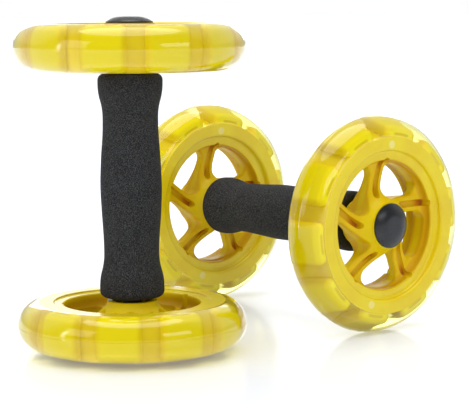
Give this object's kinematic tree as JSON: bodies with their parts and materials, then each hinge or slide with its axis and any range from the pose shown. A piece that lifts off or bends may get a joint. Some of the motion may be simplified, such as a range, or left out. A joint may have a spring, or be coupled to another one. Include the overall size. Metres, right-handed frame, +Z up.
{
  "type": "ab wheel roller",
  "caption": "Short hand-held ab wheel rollers: contoured foam grips between spoked wheels with clear yellow tyres, for rolling exercise on a floor.",
  "frame": {"origin": "the floor under the upright roller, at the middle of the flat on its lower hub cap", "axes": "+Z up along the upright roller's axle, +X along the lying roller's axle towards its right wheel, +Y from the upright roller to the lying one"},
  "size_m": [0.2142, 0.309, 0.2115],
  "materials": {
    "tyre_urethane": "gloss",
    "core_plastic": "gloss",
    "cap_plastic": "satin",
    "grip_foam": "matte",
    "tube_steel": "satin",
    "axle_steel": "satin",
    "plug_nylon": "matte",
    "bearing_steel": "polished",
    "spacer_aluminium": "satin"
  },
  "bodies": {
    "upright_handle": {"upright_grip_foam": "grip_foam", "upright_handle_tube": "tube_steel", "upright_axle_rod": "axle_steel", "upright_upper_end_plug": "plug_nylon", "upright_upper_outboard_bearing_inner_race": "bearing_steel", "upright_upper_inboard_bearing_inner_race": "bearing_steel", "upright_upper_bearing_spacer": "spacer_aluminium", "upright_upper_axle_washer": "axle_steel", "upright_upper_axle_nut": "axle_steel", "upright_lower_end_plug": "plug_nylon", "upright_lower_outboard_bearing_inner_race": "bearing_steel", "upright_lower_inboard_bearing_inner_race": "bearing_steel", "upright_lower_bearing_spacer": "spacer_aluminium", "upright_lower_axle_washer": "axle_steel", "upright_lower_axle_nut": "axle_steel"},
    "upright_upper_wheel": {"upright_upper_tyre": "tyre_urethane", "upright_upper_wheel_core": "core_plastic", "upright_upper_hub_cap": "cap_plastic", "upright_upper_outboard_bearing_outer_race": "bearing_steel", "upright_upper_inboard_bearing_outer_race": "bearing_steel", "upright_upper_outboard_bearing_balls": "bearing_steel", "upright_upper_inboard_bearing_balls": "bearing_steel"},
    "upright_lower_wheel": {"upright_lower_tyre": "tyre_urethane", "upright_lower_wheel_core": "core_plastic", "upright_lower_hub_cap": "cap_plastic", "upright_lower_outboard_bearing_outer_race": "bearing_steel", "upright_lower_inboard_bearing_outer_race": "bearing_steel", "upright_lower_outboard_bearing_balls": "bearing_steel", "upright_lower_inboard_bearing_balls": "bearing_steel"},
    "lying_handle": {"lying_grip_foam": "grip_foam", "lying_handle_tube": "tube_steel", "lying_axle_rod": "axle_steel", "lying_right_end_plug": "plug_nylon", "lying_right_outboard_bearing_inner_race": "bearing_steel", "lying_right_inboard_bearing_inner_race": "bearing_steel", "lying_right_bearing_spacer": "spacer_aluminium", "lying_right_axle_washer": "axle_steel", "lying_right_axle_nut": "axle_steel", "lying_left_end_plug": "plug_nylon", "lying_left_outboard_bearing_inner_race": "bearing_steel", "lying_left_inboard_bearing_inner_race": "bearing_steel", "lying_left_bearing_spacer": "spacer_aluminium", "lying_left_axle_washer": "axle_steel", "lying_left_axle_nut": "axle_steel"},
    "lying_right_wheel": {"lying_right_tyre": "tyre_urethane", "lying_right_wheel_core": "core_plastic", "lying_right_hub_cap": "cap_plastic", "lying_right_outboard_bearing_outer_race": "bearing_steel", "lying_right_inboard_bearing_outer_race": "bearing_steel", "lying_right_outboard_bearing_balls": "bearing_steel", "lying_right_inboard_bearing_balls": "bearing_steel"},
    "lying_left_wheel": {"lying_left_tyre": "tyre_urethane", "lying_left_wheel_core": "core_plastic", "lying_left_hub_cap": "cap_plastic", "lying_left_outboard_bearing_outer_race": "bearing_steel", "lying_left_inboard_bearing_outer_race": "bearing_steel", "lying_left_outboard_bearing_balls": "bearing_steel", "lying_left_inboard_bearing_balls": "bearing_steel"}
  },
  "joints": [
    {"name": "upright_upper_wheel_spin", "type": "hinge", "parent": "upright_handle", "child": "upright_upper_wheel", "pos_m": [0, 0, 0.19275], "axis": [0, 0, 1], "continuous": true},
    {"name": "upright_lower_wheel_spin", "type": "hinge", "parent": "upright_handle", "child": "upright_lower_wheel", "pos_m": [0, 0, 0.01875], "axis": [0, 0, 1], "continuous": true},
    {"name": "lying_roller_lift", "type": "slide", "parent": "upright_handle", "child": "lying_handle", "axis": [0, 0, 1], "range_m": [0, 0.25]},
    {"name": "lying_right_wheel_spin", "type": "hinge", "parent": "lying_handle", "child": "lying_right_wheel", "pos_m": [0.051, 0.164, 0.0725], "axis": [1, 0, 0], "continuous": true},
    {"name": "lying_left_wheel_spin", "type": "hinge", "parent": "lying_handle", "child": "lying_left_wheel", "pos_m": [-0.123, 0.164, 0.0725], "axis": [1, 0, 0], "continuous": true}
  ]
}
